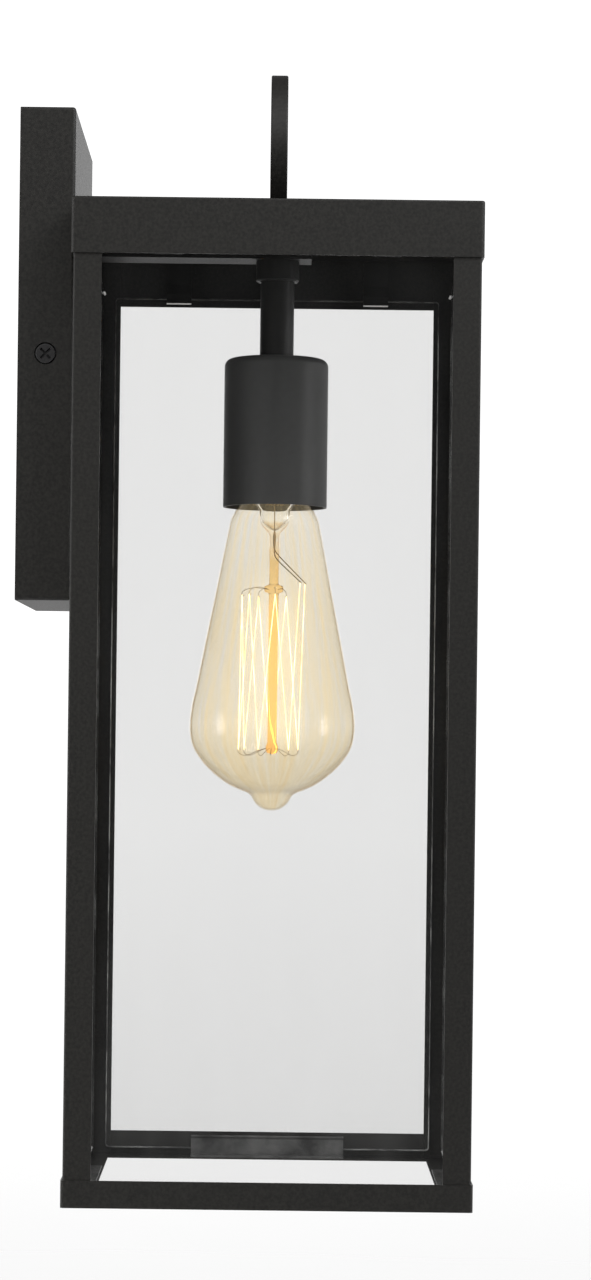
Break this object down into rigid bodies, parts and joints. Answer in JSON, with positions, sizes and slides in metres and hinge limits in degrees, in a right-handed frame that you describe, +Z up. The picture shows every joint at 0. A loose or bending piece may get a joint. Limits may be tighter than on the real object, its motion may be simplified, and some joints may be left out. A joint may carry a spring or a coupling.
{
  "type": "outdoor wall lantern",
  "caption": "Black square wall lantern: box backplate, flat roof cap with upright ring, glazed open-bottom cage, round lamp holder and a screw-in filament bulb.",
  "frame": {"origin": "centre of the wall plate, on the wall plane", "axes": "+Z up, +Y out of the object's back into the wall, the cage stands off along -Y, X across"},
  "size_m": [0.15, 0.1705, 0.426],
  "materials": {
    "black_coat": "matte",
    "black_screw": "satin",
    "zinc_steel": "satin",
    "green_screw": "satin",
    "bare_copper": "satin",
    "wire_nut_plastic": "satin",
    "lead_black": "satin",
    "lead_white": "satin",
    "grommet_rubber": "matte",
    "gasket_foam": "matte",
    "socket_ceramic": "gloss",
    "brass": "satin",
    "bulb_brass": "satin",
    "black_glass": "gloss",
    "solder": "satin",
    "panel_glass": "gloss",
    "amber_glass": "gloss",
    "stem_glass": "gloss",
    "filament_wire": "matte",
    "support_wire": "satin"
  },
  "bodies": {
    "lantern": {"backplate": "black_coat", "wall_gasket": "gasket_foam", "crossbar": "zinc_steel", "side_screws": "black_screw", "ground_screw": "green_screw", "ground_wire": "bare_copper", "wire_nuts": "wire_nut_plastic", "lead_black": "lead_black", "lead_white": "lead_white", "grommet": "grommet_rubber", "fixing_screws": "zinc_steel", "fixing_nuts": "zinc_steel", "arm_strap": "black_coat", "roof_cap": "black_coat", "loop_ring": "black_coat", "loop_screw": "zinc_steel", "nipple": "zinc_steel", "locknut": "zinc_steel", "collar": "black_coat", "stem_tube": "black_coat", "cup_nut": "zinc_steel", "socket_bridge": "zinc_steel", "socket_cup": "black_coat", "socket_body": "socket_ceramic", "socket_shell": "brass", "terminal_screws": "brass", "post_front_left": "black_coat", "post_front_right": "black_coat", "post_wall_left": "black_coat", "post_wall_right": "black_coat", "bottom_frame": "black_coat", "glass_right": "panel_glass", "glass_wall": "panel_glass", "glass_left": "panel_glass", "glass_front": "panel_glass", "top_clips": "black_coat", "bottom_clips": "black_coat"},
    "holder_contact": {"socket_contact": "brass"},
    "bulb_tip": {"bulb_contact": "solder"},
    "bulb": {"bulb_envelope": "amber_glass", "bulb_base": "bulb_brass", "bulb_insulator": "black_glass", "glass_stem": "stem_glass", "filament": "filament_wire", "filament_supports": "support_wire", "bulb_leads": "support_wire"}
  },
  "joints": [
    {"name": "contact_spring", "type": "slide", "parent": "lantern", "child": "holder_contact", "axis": [0, 0, 1], "range_m": [0, 0.0012], "stiffness_N_per_m": 800},
    {"name": "bulb_travel", "type": "slide", "parent": "lantern", "child": "bulb_tip", "axis": [0, 0, 1], "range_m": [-0.01817, 0]},
    {"name": "bulb_turn", "type": "hinge", "parent": "bulb_tip", "child": "bulb", "pos_m": [0, -0.0955, -0.03], "axis": [0, 0, 1], "range_deg": [-1800, 0]}
  ],
  "couplings": [
    {"joint": "bulb_travel", "follows": "bulb_turn", "m_per_rad": 0.00057757}
  ]
}
